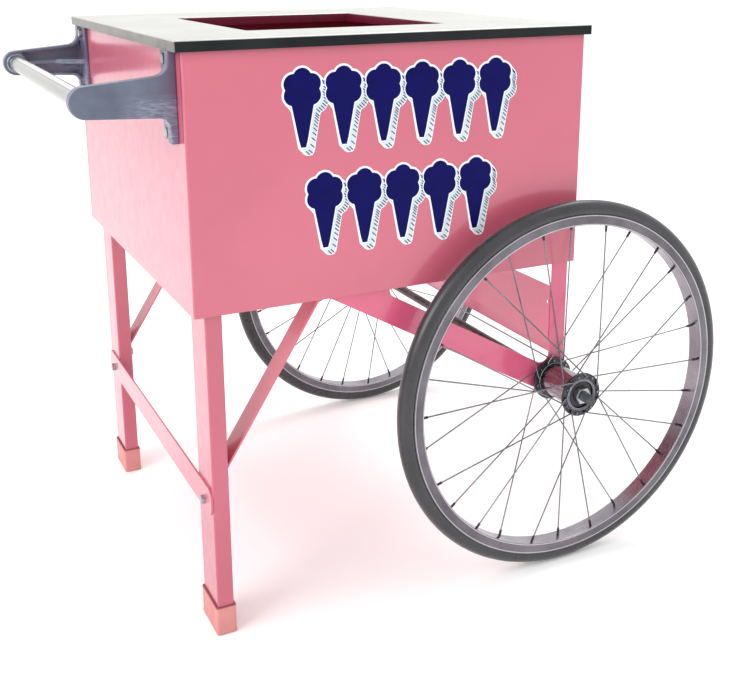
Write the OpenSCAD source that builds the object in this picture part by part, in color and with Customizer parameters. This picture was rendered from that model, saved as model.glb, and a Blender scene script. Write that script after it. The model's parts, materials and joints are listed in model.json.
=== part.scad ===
// Two-wheeled cotton candy cart: a sheet steel body on two legs and two spoked wheels.
// The origin is on the floor under the middle of the cart. +X points to the wheel end,
// -X to the handle, and -Y is the front, where the decal is. Millimetres.

/* [Body] */
// Length of the body along X
body_l = 630; // [400:5:900]
// Width of the body along Y
body_w = 658; // [400:2:900]
// Height of the body's lower edge above the floor
body_z = 500; // [400:5:650]
// Height of the body's walls
body_h = 358; // [200:2:500]
// Sheet thickness of the body
sheet_t = 1.5; // [1:0.1:3]
// Leg length of the corner angles
angle_l = 25; // [15:1:40]
// Thickness of the corner angles
angle_t = 2; // [1:0.5:4]
// Height of the floor pan's upturned edge
pan_lip = 20; // [10:1:40]

/* [Countertop] */
// Thickness of the countertop
top_t = 15; // [10:1:30]
// Overhang at each end
top_over_x = 10; // [0:1:30]
// Overhang at the front and the back
top_over_y = 4.5; // [0:0.5:30]
// Thickness of the stainless skin
skin_t = 1.2; // [0.8:0.1:2]
// Length of the machine well along X
well_l = 327; // [200:1:500]
// Width of the machine well along Y
well_w = 366; // [200:1:500]
// Well centre from the handle-end face
well_x = 298.5; // [200:0.5:450]
// Well centre from the centre plane
well_y = -17.5; // [-60:0.5:60]

/* [Legs] */
// Leg section along X
leg_l = 25; // [20:1:50]
// Leg section along Y
leg_w = 68; // [30:1:90]
// Wall of the leg tube
leg_wall = 2; // [1.5:0.5:4]
// Distance from the handle-end face to the leg
leg_in_x = 17.4; // [5:0.1:60]
// Distance from the body's side to the leg
leg_in_y = 8.8; // [2:0.1:60]
// Thickness of the plate on top of a leg
leg_plate_t = 3; // [2:0.5:6]
// Height of a rubber foot cap
cap_h = 46; // [20:1:80]
// Wall of a foot cap
cap_wall = 3; // [2:0.5:6]
// Floor of a foot cap
cap_floor = 6; // [3:0.5:15]

/* [Cross bar and braces] */
// Height of the cross bar's lower edge
bar_z = 193; // [100:1:300]
// Height of the cross bar's section
bar_h = 42; // [20:1:60]
// Thickness of the cross bar and of the braces
bar_t = 3; // [2:0.5:6]
// Corner radius of the cross bar's ends
bar_r = 15; // [2:1:21]
// Height of the cross bar's bolts
bar_bolt_z = 208; // [195:1:230]
// Width of a brace along Y
brace_w = 38; // [20:1:50]
// Height of a brace's lower bend
brace_z = 257; // [220:1:320]
// Length of a brace's bolted ends
brace_tab = 46; // [30:1:60]
// Where a brace meets the body, from the handle-end face
brace_x = 198; // [120:1:300]

/* [Axle brackets] */
// Thickness of the bracket plates
plate_t = 3; // [2:0.5:6]
// Distance from the body's side to a plate
plate_in = 9; // [5:0.5:40]
// Left end of a plate at the body, from the handle-end face
plate_x = 200.4; // [150:0.1:300]
// Radius of a plate around the axle
plate_boss_r = 27; // [20:0.5:40]
// Width of a plate's arm at the wheel end
plate_arm = 29; // [15:1:50]
// Width of a plate's sloped arm
plate_slope = 40; // [20:1:60]
// Left end of a plate's cut-out, from the handle-end face
cut_x = 302; // [260:1:400]
// Corner radius of a plate's cut-out
cut_r = 14; // [5:1:25]
// Width of a plate's flange under the body
flange_w = 30; // [20:1:50]
// Length of the flange beside the cut-out
flange_l = 48; // [30:1:50]
// Top of the cross panel
cross_top = 459; // [400:1:490]
// Bend line of the cross panel
cross_bend = 369; // [350:1:400]
// Bottom of the cross panel
cross_bottom = 343; // [335:1:365]
// Thickness of the cross panel
cross_t = 2; // [1:0.5:4]
// Radius of the small holes in the cross panel
cross_hole_r = 3; // [2:0.5:5]

/* [Axle and wheels] */
// Axle centre from the handle-end face
wheel_x = 596; // [450:1:800]
// Outside diameter of a wheel
wheel_d = 610; // [400:10:700]
// Width of a tyre
tyre_w = 28; // [20:1:50]
// Axle radius
axle_r = 8; // [6:0.5:12]
// Half of the axle's length
axle_half = 433; // [380:1:450]
// Running clearance between axle and bearings
run_gap = 0.05; // [0.02:0.01:0.1]
// Distance from the centre plane to a wheel's hub
hub_y = 367; // [350:1:390]
// Half of the distance between a hub's flanges
hub_flange_y = 37.5; // [25:0.5:45]
// Radius of a hub flange
hub_flange_r = 35.5; // [28:0.5:45]
// Thickness of a hub flange
hub_flange_t = 4; // [3:0.5:6]
// Radius of a hub's barrel
hub_barrel_r = 26; // [18:0.5:27]
// Radius of the circle of spoke holes
hub_hole_r = 31; // [28:0.5:40]
// Spokes on one wheel
spoke_count = 28; // [20:4:40]
// Crossings of a spoke
spoke_cross = 2; // [0:1:3]
// Spoke radius
spoke_r = 1.15; // [0.8:0.05:2]
// Clearance of a spoke beside its hub flange
spoke_gap = 1.2; // [1:0.1:2]
// Distance of a spoke hole from the rim's middle, towards the spoke's flange
hole_shift = 4.5; // [0:0.5:8]
// Nipple radius
nipple_r = 2; // [1.5:0.1:3]
// Nipple length
nipple_l = 13; // [8:1:16]
// Outer radius of a bearing
bearing_r = 17; // [14:0.5:20]
// Width of a bearing
bearing_w = 10; // [6:1:12]

/* [Handle] */
// Handle tube centre from the handle-end face
handle_reach = 118; // [80:1:200]
// Height of the handle tube
handle_z = 797; // [750:1:840]
// Handle tube radius
handle_r = 13; // [10:0.5:20]
// Wall of the handle tube
handle_wall = 1.5; // [1:0.5:3]
// Outer radius of a bracket's end
arm_r = 21; // [17:0.5:30]
// Thickness of a bracket's arm
arm_t = 18; // [12:1:30]
// Depth of a bracket's socket
socket_d = 14; // [8:1:25]
// Distance from the body's side to a bracket
arm_in = 26; // [5:1:80]
// Half height of an arm at its foot
arm_foot = 30; // [22:1:45]
// Radius of the sweep from arm to foot
arm_sweep = 15; // [8:1:25]
// Wall of an arm round its hollow inner side
arm_rim = 4.5; // [3:0.5:8]
// Thickness of an arm's outer skin
arm_web = 6.5; // [4:0.5:10]
// Width of a bracket's foot plate
foot_w = 54; // [40:1:90]
// Half height of a bracket's foot plate
foot_half = 61; // [50:1:80]
// Thickness of a bracket's foot plate
foot_t = 5; // [3:0.5:10]
// Distance of a bracket's bolts from the tube's height
foot_bolt_z = 49; // [35:1:55]

/* [Fasteners] */
// Bolt radius
bolt_r = 4; // [3:0.5:6]
// Radius of a bolt hole
bolt_hole_r = 4.2; // [3.1:0.1:7]
// Distance across the flats of a bolt head or nut
hex_af = 13; // [10:1:19]
// Height of a bolt head or nut
hex_h = 5.5; // [4:0.5:8]
// Distance across the flats of an axle nut
axle_nut_af = 24; // [19:1:32]
// Height of an axle nut
axle_nut_h = 9; // [6:1:14]

/* [Decal] */
// Thickness of the decal
decal_t = 0.4; // [0.2:0.1:1]
// Radius of one candy puff
puff_r = 24; // [15:1:30]
// Middle of the decal from the handle-end face
decal_x = 318; // [200:1:420]
// Height of the middle of the decal
decal_z = 700; // [600:1:780]

/* [Hidden] */
$fn = 64;
eps = 0.1;
bx = (handle_reach + arm_r - wheel_x - wheel_d / 2) / 2;
half_w = body_w / 2;
body_top = body_z + body_h;
leg_cx = bx + leg_in_x + leg_l / 2;
leg_cy = half_w - leg_in_y - leg_w / 2;
leg_top = body_z - leg_plate_t;
leg_bolt_y = leg_w / 4;
pan_top = body_z + sheet_t;
axle_x = bx + wheel_x;
axle_z = wheel_d / 2;
plate_y = half_w - plate_in;
flange_z = body_z - plate_t;
tyre_r = wheel_d / 2 - tyre_w / 2;
rim_r = tyre_r - 6;
rim_half = 14;
bead_half = 12.5;
hub_half = hub_flange_y + hub_flange_t / 2 + 0.5;
bearing_out = hub_half - 6;
holes_a_side = spoke_count / 2;
hole_step = 360 / holes_a_side;
rim_bed = rim_r - 17.5;
spoke_rim_r = rim_bed + 2;
handle_x = bx - handle_reach;
arm_y = half_w - arm_in;
foot_bolt_y = half_w - arm_in - 29;
slope_dx = wheel_x - plate_x;
slope_dz = body_z - axle_z;
slope_a = atan2(slope_dz, slope_dx) + asin(plate_boss_r / norm([slope_dx, slope_dz]));
cross_x = axle_x - 2;

// Colours of the materials
pink = [0.87, 0.45, 0.53];
deep_pink = [0.78, 0.28, 0.44];
steel = [0.80, 0.80, 0.82];
zinc = [0.62, 0.63, 0.66];
dark_steel = [0.25, 0.25, 0.27];
board = [0.72, 0.58, 0.40];
salmon = [0.90, 0.63, 0.58];
rubber = [0.20, 0.20, 0.22];
slate = [0.40, 0.45, 0.55];
navy = [0.05, 0.06, 0.40];

// ---------- shared shapes ----------

// Both sides of the cart: children drawn at +Y and mirrored to -Y
module both_sides() {
  children();
  mirror([0, 1, 0]) children();
}

// A box between two corners
module block(a, b) {
  translate(a) cube(b - a);
}

function outward(a, b) = [b.y - a.y, a.x - b.x] / norm(b - a);

// A convex outline with round corners: arc centres in anticlockwise order
module rounded(c, r) {
  n = len(c);
  polygon([for (i = [0:n - 1]) for (p = [c[i], c[(i + 1) % n]]) p + r * outward(c[i], c[(i + 1) % n])]);
  for (p = c) translate(p) circle(r);
}

// A bent strip seen from its edge
module strip(points, t) {
  for (i = [0:len(points) - 2]) {
    a = points[i];
    b = points[i + 1];
    translate(a) rotate(atan2(b.y - a.y, b.x - a.x)) translate([0, -t / 2]) square([norm(b - a), t]);
    if (i > 0) translate(a) circle(t / 2);
  }
}

// An outline in X and Z pulled along Y from y0 to y1
module along_y(y0, y1) {
  translate([0, y1, 0]) rotate([90, 0, 0]) linear_extrude(y1 - y0) children();
}

// A cylinder along Z, X or Y from its start
module rod_z(p, r, h) {
  translate(p) cylinder(r = r, h = h);
}

module rod_x(p, r, h) {
  translate(p) rotate([0, 90, 0]) cylinder(r = r, h = h);
}

module rod_y(p, r, h) {
  translate(p) rotate([-90, 0, 0]) cylinder(r = r, h = h);
}

// A bolt along +Z: the head is below the start and the shank above it
module bolt(shank) {
  rod_z([0, 0, 0], bolt_r, shank);
  translate([0, 0, -hex_h]) cylinder(d = hex_af / cos(30), h = hex_h, $fn = 6);
}

// A nut along +Z on its start
module nut() {
  difference() {
    cylinder(d = hex_af / cos(30), h = hex_h, $fn = 6);
    rod_z([0, 0, -eps], bolt_r, hex_h + 2 * eps);
  }
}

// ---------- body ----------

module countertop() {
  color(steel) difference() {
    top_block(0, top_t);
    top_block(skin_t, top_t - skin_t, -1);
    well_block(0);
  }
  color(steel) difference() {
    well_block(skin_t, body_top, body_top + top_t - skin_t / 2);
    well_block(0);
  }
}

// The countertop's block, set in by a distance
module top_block(inset, h, below = 0) {
  block([bx - top_over_x + inset, -half_w - top_over_y + inset, body_top + below],
        [bx + body_l + top_over_x - inset, half_w + top_over_y - inset, body_top + h]);
}

// The machine well, made wider by a distance
module well_block(grow, z0 = body_top - 1, z1 = body_top + top_t + 1) {
  block([bx + well_x - well_l / 2 - grow, well_y - well_w / 2 - grow, z0],
        [bx + well_x + well_l / 2 + grow, well_y + well_w / 2 + grow, z1]);
}

module countertop_core() {
  color(board) difference() {
    top_block(skin_t, top_t - skin_t);
    well_block(skin_t);
  }
}

// One long side wall at +Y
module side_wall() {
  block([bx, half_w - sheet_t, body_z], [bx + body_l, half_w, body_top]);
}

module front_panel() {
  color(pink) mirror([0, 1, 0]) side_wall();
}

module rear_panel() {
  color(pink) side_wall();
}

// One end wall between the side walls, starting at x
module end_wall(x) {
  block([x, -half_w + sheet_t, body_z], [x + sheet_t, half_w - sheet_t, body_top]);
}

module handle_end_panel() {
  color(pink) difference() {
    end_wall(bx);
    handle_bolt_holes();
  }
}

module wheel_end_panel() {
  color(pink) end_wall(bx + body_l - sheet_t);
}

module corner_angles() {
  color(pink) both_sides() {
    corner_angle(bx + sheet_t, 1);
    corner_angle(bx + body_l - sheet_t, -1);
  }
}

// One angle in a corner of the body; side is 1 at the handle end and -1 at the wheel end
module corner_angle(x, side) {
  y = half_w - sheet_t;
  translate([x, y, pan_top + pan_lip]) scale([side, -1, 1]) {
    linear_extrude(body_h - pan_lip - sheet_t) {
      square([angle_l, angle_t]);
      square([angle_t, angle_l]);
    }
  }
}

module floor_pan() {
  lip_in = 2 * sheet_t;
  color(pink) difference() {
    block([bx + sheet_t, -half_w + sheet_t, body_z],
          [bx + body_l - sheet_t, half_w - sheet_t, pan_top + pan_lip]);
    block([bx + lip_in, -half_w + lip_in, pan_top],
          [bx + body_l - lip_in, half_w - lip_in, pan_top + pan_lip + 1]);
    leg_bolt_places() rod_z([0, 0, -5], bolt_hole_r, 10);
    brace_top_places() rod_z([0, 0, -5], bolt_hole_r, 10);
    bracket_bolt_places() rod_z([0, 0, -5], bolt_hole_r, 10);
  }
}

// ---------- legs ----------

// Where the bolts go through the floor pan into the legs
module leg_bolt_places() {
  both_sides() for (s = [-1, 1]) translate([leg_cx, leg_cy + s * leg_bolt_y, body_z]) children();
}

module leg_at() {
  difference() {
    block([leg_cx - leg_l / 2, leg_cy - leg_w / 2, cap_floor],
          [leg_cx + leg_l / 2, leg_cy + leg_w / 2, body_z]);
    block([leg_cx - leg_l / 2 + leg_wall, leg_cy - leg_w / 2 + leg_wall, 0],
          [leg_cx + leg_l / 2 - leg_wall, leg_cy + leg_w / 2 - leg_wall, leg_top]);
    for (s = [-1, 1]) rod_z([leg_cx, leg_cy + s * leg_bolt_y, leg_top - 5], bolt_hole_r, 20);
    rod_x([leg_cx - leg_l, leg_cy, bar_bolt_z], bolt_hole_r, leg_l);
    rod_x([leg_cx, leg_cy, brace_z - brace_tab / 2], bolt_hole_r, leg_l);
  }
}

module leg_front() {
  color(pink) mirror([0, 1, 0]) leg_at();
}

module leg_rear() {
  color(pink) leg_at();
}

module leg_bolts() {
  color(zinc) leg_bolt_places() translate([0, 0, sheet_t]) mirror([0, 0, 1]) bolt(20);
}

module leg_weld_nuts() {
  color(zinc) leg_bolt_places() translate([0, 0, -leg_plate_t]) mirror([0, 0, 1]) nut();
}

module foot_cap_at() {
  hx = leg_l / 2;
  hy = leg_w / 2;
  difference() {
    block([leg_cx - hx - cap_wall, leg_cy - hy - cap_wall, 0],
          [leg_cx + hx + cap_wall, leg_cy + hy + cap_wall, cap_h]);
    block([leg_cx - hx, leg_cy - hy, cap_floor], [leg_cx + hx, leg_cy + hy, cap_h + 1]);
  }
}

module foot_cap_front() {
  color(salmon) mirror([0, 1, 0]) foot_cap_at();
}

module foot_cap_rear() {
  color(salmon) foot_cap_at();
}

// ---------- cross bar and braces ----------

module leg_cross_bar() {
  x0 = leg_cx - leg_l / 2 - bar_t;
  y1 = leg_cy + leg_w / 2 - bar_r;
  z0 = bar_z + bar_r;
  z1 = bar_z + bar_h - bar_r;
  color(pink) difference() {
    translate([x0, 0, 0]) rotate([90, 0, 90]) linear_extrude(bar_t) {
      rounded([[-y1, z0], [y1, z0], [y1, z1], [-y1, z1]], bar_r);
    }
    both_sides() rod_x([x0 - 1, leg_cy, bar_bolt_z], bolt_hole_r, bar_t + 2);
  }
}

module cross_bar_bolts() {
  x0 = leg_cx - leg_l / 2 - bar_t;
  color(zinc) both_sides() translate([x0, leg_cy, bar_bolt_z]) rotate([0, 90, 0]) bolt(12);
}

module cross_bar_nuts() {
  x0 = leg_cx - leg_l / 2 + leg_wall;
  color(zinc) both_sides() translate([x0, leg_cy, bar_bolt_z]) rotate([0, 90, 0]) nut();
}

// Where a brace's upper end is bolted to the floor pan
module brace_top_places() {
  both_sides() translate([bx + brace_x + brace_tab / 2 + 4, leg_cy, body_z]) children();
}

module brace_at() {
  x0 = leg_cx + leg_l / 2 + bar_t / 2;
  z1 = body_z - bar_t / 2;
  x1 = bx + brace_x;
  difference() {
    along_y(leg_cy - brace_w / 2, leg_cy + brace_w / 2) {
      strip([[x0, brace_z - brace_tab], [x0, brace_z], [x1, z1], [x1 + brace_tab, z1]], bar_t);
    }
    rod_x([x0 - 5, leg_cy, brace_z - brace_tab / 2], bolt_hole_r, 10);
    rod_z([x1 + brace_tab / 2 + 4, leg_cy, body_z - 10], bolt_hole_r, 20);
  }
}

module brace_front() {
  color(pink) mirror([0, 1, 0]) brace_at();
}

module brace_rear() {
  color(pink) brace_at();
}

module brace_bolts() {
  x0 = leg_cx + leg_l / 2 + bar_t;
  color(zinc) both_sides() translate([x0, leg_cy, brace_z - brace_tab / 2]) rotate([0, -90, 0]) bolt(12);
  color(zinc) brace_top_places() translate([0, 0, -bar_t]) bolt(12);
}

module brace_nuts() {
  x0 = leg_cx + leg_l / 2 - leg_wall;
  color(zinc) both_sides() translate([x0, leg_cy, brace_z - brace_tab / 2]) rotate([0, -90, 0]) nut();
  color(zinc) brace_top_places() translate([0, 0, sheet_t]) nut();
}

// ---------- axle brackets ----------

// Where a bracket's flange is bolted to the floor pan
module bracket_bolt_places() {
  y = plate_y - plate_t - flange_w / 2;
  both_sides() for (x = [cut_x - 24, wheel_x + 13]) translate([bx + x, y, body_z]) children();
}

// The side view of a bracket plate
module plate_outline() {
  up = [-sin(slope_a), -cos(slope_a)] * plate_boss_r;
  difference() {
    union() {
      polygon([[bx + plate_x, body_z], [axle_x, axle_z] + up,
               [axle_x + plate_boss_r, axle_z], [axle_x + plate_boss_r, body_z]]);
      translate([axle_x, axle_z]) circle(plate_boss_r);
    }
    cut_outline();
  }
}

// The cut-out: it runs up to the body and is open at the top
module cut_outline() {
  run = [cos(slope_a), -sin(slope_a)];
  low = [bx + plate_x, body_z] + [sin(slope_a), cos(slope_a)] * (plate_slope + cut_r);
  x0 = bx + cut_x + cut_r;
  x1 = axle_x + plate_boss_r - plate_arm - cut_r;
  p0 = low + run * (x0 - low.x) / run.x;
  p1 = low + run * (x1 - low.x) / run.x;
  rounded([p0, p1, [x1, body_z + 60], [x0, body_z + 60]], cut_r);
}

module axle_bracket_at() {
  y0 = plate_y - plate_t;
  difference() {
    union() {
      along_y(y0, plate_y) plate_outline();
      block([bx + cut_x - flange_l, y0 - flange_w, flange_z], [bx + cut_x, plate_y - plate_t / 2, body_z]);
      block([cross_x + 4, y0 - flange_w, flange_z],
            [axle_x + plate_boss_r, plate_y - plate_t / 2, body_z]);
    }
    rod_y([axle_x, plate_y - 20, axle_z], axle_r + run_gap, 40);
    bracket_bolt_places() rod_z([0, 0, -10], bolt_hole_r, 20);
  }
}

module axle_bracket_front() {
  color(deep_pink) mirror([0, 1, 0]) axle_bracket_at();
}

module axle_bracket_rear() {
  color(deep_pink) axle_bracket_at();
}

module bracket_bolts() {
  color(zinc) bracket_bolt_places() translate([0, 0, -plate_t]) bolt(12);
}

module bracket_nuts() {
  color(zinc) bracket_bolt_places() translate([0, 0, sheet_t]) nut();
}

module axle_cross_panel() {
  y1 = plate_y - plate_t;
  color(deep_pink) difference() {
    along_y(-y1, y1) {
      strip([[cross_x, cross_top], [cross_x, cross_bend], [cross_x + 9, cross_bottom]], cross_t);
    }
    both_sides() rod_x([cross_x - 5, half_w - 16 - plate_t, 431], cross_hole_r, 10);
  }
}

// ---------- axle ----------

module axle() {
  color(dark_steel) rod_y([axle_x, -axle_half, axle_z], axle_r, 2 * axle_half);
}

// A ring on the axle between two distances from the centre plane
module axle_ring(r, y0, y1) {
  difference() {
    rod_y([axle_x, y0, axle_z], r, y1 - y0);
    rod_y([axle_x, y0 - eps, axle_z], axle_r, y1 - y0 + 2 * eps);
  }
}

module axle_spacers() {
  gap = 0.4;
  color(zinc) both_sides() {
    axle_ring(12, plate_y, hub_y - bearing_out - gap);
    axle_ring(12, hub_y + bearing_out + gap, hub_y + hub_half - 3);
  }
}

module axle_nuts() {
  color(zinc) both_sides() {
    axle_nut(plate_y - plate_t - axle_nut_h);
    axle_nut(hub_y + hub_half - 3);
  }
}

module axle_nut(y) {
  difference() {
    translate([axle_x, y, axle_z]) rotate([-90, 0, 0]) {
      cylinder(d = axle_nut_af / cos(30), h = axle_nut_h, $fn = 6);
    }
    rod_y([axle_x, y - eps, axle_z], axle_r, axle_nut_h + 2 * eps);
  }
}

// ---------- wheels ----------

// The +Y wheel's place: children drawn around Z at the hub's middle, +Z pointing outwards
module wheel_place() {
  translate([axle_x, hub_y, axle_z]) rotate([-90, 0, 0]) children();
}

module tyre_at() {
  foot_r = rim_r - 7;
  rotate_extrude() difference() {
    union() {
      translate([tyre_r, 0]) circle(tyre_w / 2);
      translate([foot_r + eps, -bead_half + eps]) square([rim_r - foot_r + 3, 2 * (bead_half - eps)]);
    }
    translate([foot_r + eps - tyre_w, -rim_half]) square([tyre_w, 2 * rim_half]);
    for (s = [-1, 1]) translate([foot_r, s * (rim_half + bead_half - eps) - rim_half]) {
      square([rim_r + eps - foot_r, 2 * rim_half]);
    }
  }
}

module rim_at() {
  rotate_extrude() difference() {
    polygon([[rim_r, rim_half], [rim_bed + 1.5, rim_half], [rim_bed, rim_half - 1.5],
             [rim_bed, 1.5 - rim_half], [rim_bed + 1.5, -rim_half], [rim_r, -rim_half]]);
    translate([rim_r - 7, -bead_half]) square([10, 2 * bead_half]);
    polygon([[rim_r - 8.5, bead_half], [rim_bed + 2.5, bead_half], [rim_bed + 1.5, bead_half - 1],
             [rim_bed + 1.5, 1 - bead_half], [rim_bed + 2.5, -bead_half], [rim_r - 8.5, -bead_half]]);
  }
}

module rim_with_holes() {
  difference() {
    rim_at();
    for (i = [0:spoke_count - 1]) {
      rotate(rim_angle(i)) rod_x([rim_bed - 2, 0, spoke_side(i) * hole_shift], nipple_r + 0.7, 5);
    }
  }
}

// Hub end and rim end of spoke i: even spokes start at the outer flange
function spoke_side(i) = i % 2 == 0 ? 1 : -1;
function spoke_turn(i) = floor((i + 1) / 2) % 2 == 1 ? 1 : -1;
function rim_angle(i) = i * hole_step / 2;
function hub_angle(i) = rim_angle(i) + spoke_turn(i) * spoke_cross * hole_step;
function ring_point(r, a, z) = [r * cos(a), r * sin(a), z];
function spoke_foot(i) = ring_point(hub_hole_r, hub_angle(i),
  spoke_side(i) * (hub_flange_y + spoke_turn(i) * (hub_flange_t / 2 + spoke_r + spoke_gap)));
function spoke_tip(i) = ring_point(spoke_rim_r, rim_angle(i), spoke_side(i) * hole_shift);

// Children along the line from a to b, drawn along +Z
module aimed(a, b) {
  d = b - a;
  translate(a) rotate([0, acos(d.z / norm(d)), atan2(d.y, d.x)]) children();
}

// One spoke: its elbow goes through the hub flange and ends in a round head
module spoke(i) {
  a = spoke_foot(i);
  b = spoke_tip(i);
  elbow = hub_flange_t + spoke_r + spoke_gap + eps;
  aimed(a, b) rod_z([0, 0, 0], spoke_r, norm(b - a));
  translate(a) scale([1, 1, -spoke_side(i) * spoke_turn(i)]) {
    rod_z([0, 0, -spoke_r], spoke_r, elbow + 1.5 * spoke_r);
    rod_z([0, 0, elbow], 1.9, spoke_r);
  }
}

module spokes_at() {
  for (i = [0:spoke_count - 1]) spoke(i);
}

module nipples_at() {
  for (i = [0:spoke_count - 1]) {
    a = spoke_foot(i);
    b = spoke_tip(i);
    aimed(b, a) difference() {
      rod_z([0, 0, -1], nipple_r, nipple_l);
      rod_z([0, 0, -eps], spoke_r, nipple_l + 1);
    }
  }
}

module hub_at() {
  y1 = hub_half;
  y2 = bearing_out;
  y3 = bearing_out - bearing_w;
  f0 = hub_flange_y - hub_flange_t / 2;
  f1 = hub_flange_y + hub_flange_t / 2;
  difference() {
    rotate_extrude() {
      translate([hub_barrel_r - 3.5, -y1]) square([3.5, 2 * y1]);
      for (s = [0, 1]) mirror([0, s]) {
        translate([hub_barrel_r - 1, f0]) square([hub_flange_r - hub_barrel_r + 1, f1 - f0]);
        translate([bearing_r, y3]) square([hub_barrel_r - bearing_r - 3, bearing_w]);
      }
    }
    for (i = [0:holes_a_side - 1]) for (s = [-1, 1]) {
      rotate((i + (s < 0 ? 0.5 : 0)) * hole_step) {
        rod_z([hub_hole_r, 0, s * hub_flange_y - hub_flange_t], 1.4, 2 * hub_flange_t);
      }
    }
  }
}

module bearings_at() {
  for (s = [-1, 1]) rotate_extrude() {
    translate([axle_r + run_gap, s > 0 ? bearing_out - bearing_w : -bearing_out]) {
      square([bearing_r - axle_r - run_gap, bearing_w]);
    }
  }
}

module front_tyre() {
  color(rubber) mirror([0, 1, 0]) wheel_place() tyre_at();
}

module rear_tyre() {
  color(rubber) wheel_place() tyre_at();
}

module front_rim() {
  color(steel) mirror([0, 1, 0]) wheel_place() rim_with_holes();
}

module rear_rim() {
  color(steel) wheel_place() rim_with_holes();
}

module front_spokes() {
  color(steel) mirror([0, 1, 0]) wheel_place() spokes_at();
}

module rear_spokes() {
  color(steel) wheel_place() spokes_at();
}

module front_nipples() {
  color(zinc) mirror([0, 1, 0]) wheel_place() nipples_at();
}

module rear_nipples() {
  color(zinc) wheel_place() nipples_at();
}

module front_hub() {
  color(steel) mirror([0, 1, 0]) wheel_place() hub_at();
}

module rear_hub() {
  color(steel) wheel_place() hub_at();
}

module front_bearings() {
  color(dark_steel) mirror([0, 1, 0]) wheel_place() bearings_at();
}

module rear_bearings() {
  color(dark_steel) wheel_place() bearings_at();
}

// ---------- handle ----------

// The bolt holes of both brackets, along X through the end panel
module handle_bolt_holes() {
  handle_bolt_places() rod_x([-20, 0, 0], bolt_hole_r, 40);
}

module handle_bolt_places() {
  both_sides() for (s = [-1, 1]) translate([bx, foot_bolt_y, handle_z + s * foot_bolt_z]) children();
}

// The tapered part of a bracket's arm from the side, set in by a distance
module arm_taper(inset) {
  r = arm_r - inset;
  tip = [handle_x, handle_z];
  up = [handle_reach - foot_t, arm_foot - arm_r];
  down = [handle_reach - foot_t, arm_foot - arm_r - 4];
  polygon([tip + [-up.y, up.x] / norm(up) * r, tip + [-down.y, -down.x] / norm(down) * r,
           [bx - foot_t, handle_z - arm_foot + 4 + inset], [bx - foot_t, handle_z + arm_foot - inset]]);
  translate(tip) circle(r);
}

// A round inner corner between an arm's edge and its foot; s is 1 above the arm and -1 below
module arm_corner(s, half) {
  edge = half - (half - arm_r) * (4 + arm_sweep) / (handle_reach - foot_t);
  translate([bx - foot_t - 4 - arm_sweep, handle_z + s * edge]) scale([1, s]) difference() {
    translate([0, -arm_sweep / 3]) square([arm_sweep, arm_sweep * 4 / 3]);
    translate([0, arm_sweep]) circle(arm_sweep);
  }
}

// The side view of a bracket's arm, swept into its foot above and below
module arm_outline() {
  arm_taper(0);
  translate([bx - foot_t - 4, handle_z - foot_half]) square([4 + foot_t / 2, 2 * foot_half]);
  arm_corner(1, arm_foot);
  arm_corner(-1, arm_foot - 4);
}

// The hollow on an arm's inner side, either side of its middle rib
module arm_hollow() {
  difference() {
    arm_taper(arm_rim);
    translate([handle_x, handle_z]) circle(handle_r + 6);
    translate([handle_x, handle_z - 3.5]) square([handle_reach, 7]);
  }
}

module handle_bracket_at() {
  difference() {
    union() {
      difference() {
        along_y(arm_y - arm_t, arm_y) arm_outline();
        along_y(arm_y - arm_t - 1, arm_y - arm_web) arm_hollow();
      }
      block([bx - foot_t, arm_y - foot_w, handle_z - foot_half], [bx, arm_y, handle_z + foot_half]);
      translate([0, 0, handle_z - 3.5]) linear_extrude(7) {
        polygon([[bx - foot_t + 1, arm_y - arm_t + 1], [bx - foot_t - 45, arm_y - arm_t + 1],
                 [bx - foot_t + 1, arm_y - foot_w + 8]]);
      }
    }
    rod_y([handle_x, arm_y - arm_t - 1, handle_z], handle_r, socket_d + 1);
    rod_z([handle_x, arm_y - arm_t + 7, handle_z - arm_r - 2], 2.5, arm_r);
    handle_bolt_holes();
  }
}

module handle_bracket_front() {
  color(slate) mirror([0, 1, 0]) handle_bracket_at();
}

module handle_bracket_rear() {
  color(slate) handle_bracket_at();
}

module handle_bolts() {
  color(zinc) handle_bolt_places() translate([-foot_t, 0, 0]) rotate([0, 90, 0]) bolt(16);
}

module handle_nuts() {
  color(zinc) handle_bolt_places() translate([sheet_t, 0, 0]) rotate([0, 90, 0]) nut();
}

module handle_set_screws() {
  color(dark_steel) both_sides() difference() {
    rod_z([handle_x, arm_y - arm_t + 7, handle_z - arm_r], 2.5, arm_r - handle_r - 0.3);
    translate([handle_x, arm_y - arm_t + 7, handle_z - arm_r - 1]) cylinder(r = 1.4, h = 3, $fn = 6);
  }
}

module handle_tube() {
  half = arm_y - arm_t + socket_d;
  color(steel) difference() {
    rod_y([handle_x, -half, handle_z], handle_r, 2 * half);
    rod_y([handle_x, -half - 1, handle_z], handle_r - handle_wall, 2 * half + 2);
  }
}

// ---------- decal ----------

// One candy puff on its paper cone
module puff() {
  for (i = [0:5]) rotate(i * 60) translate([puff_r * 0.62, 0]) circle(puff_r * 0.55);
  circle(puff_r * 0.8);
  polygon([[-puff_r * 0.7, -puff_r * 0.7], [-puff_r * 0.18, -puff_r * 3.2],
           [puff_r * 0.18, -puff_r * 3.2], [puff_r * 0.7, -puff_r * 0.7]]);
}

module side_decal() {
  pitch = 2.55 * puff_r;
  color(navy) translate([bx + decal_x, -half_w, decal_z]) rotate([90, 0, 0]) linear_extrude(decal_t) {
    for (i = [-2.5:2.5]) translate([i * pitch, 4.1 * puff_r]) puff();
    for (i = [-2:2]) translate([i * pitch, -1.9 * puff_r]) puff();
  }
}

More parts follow.
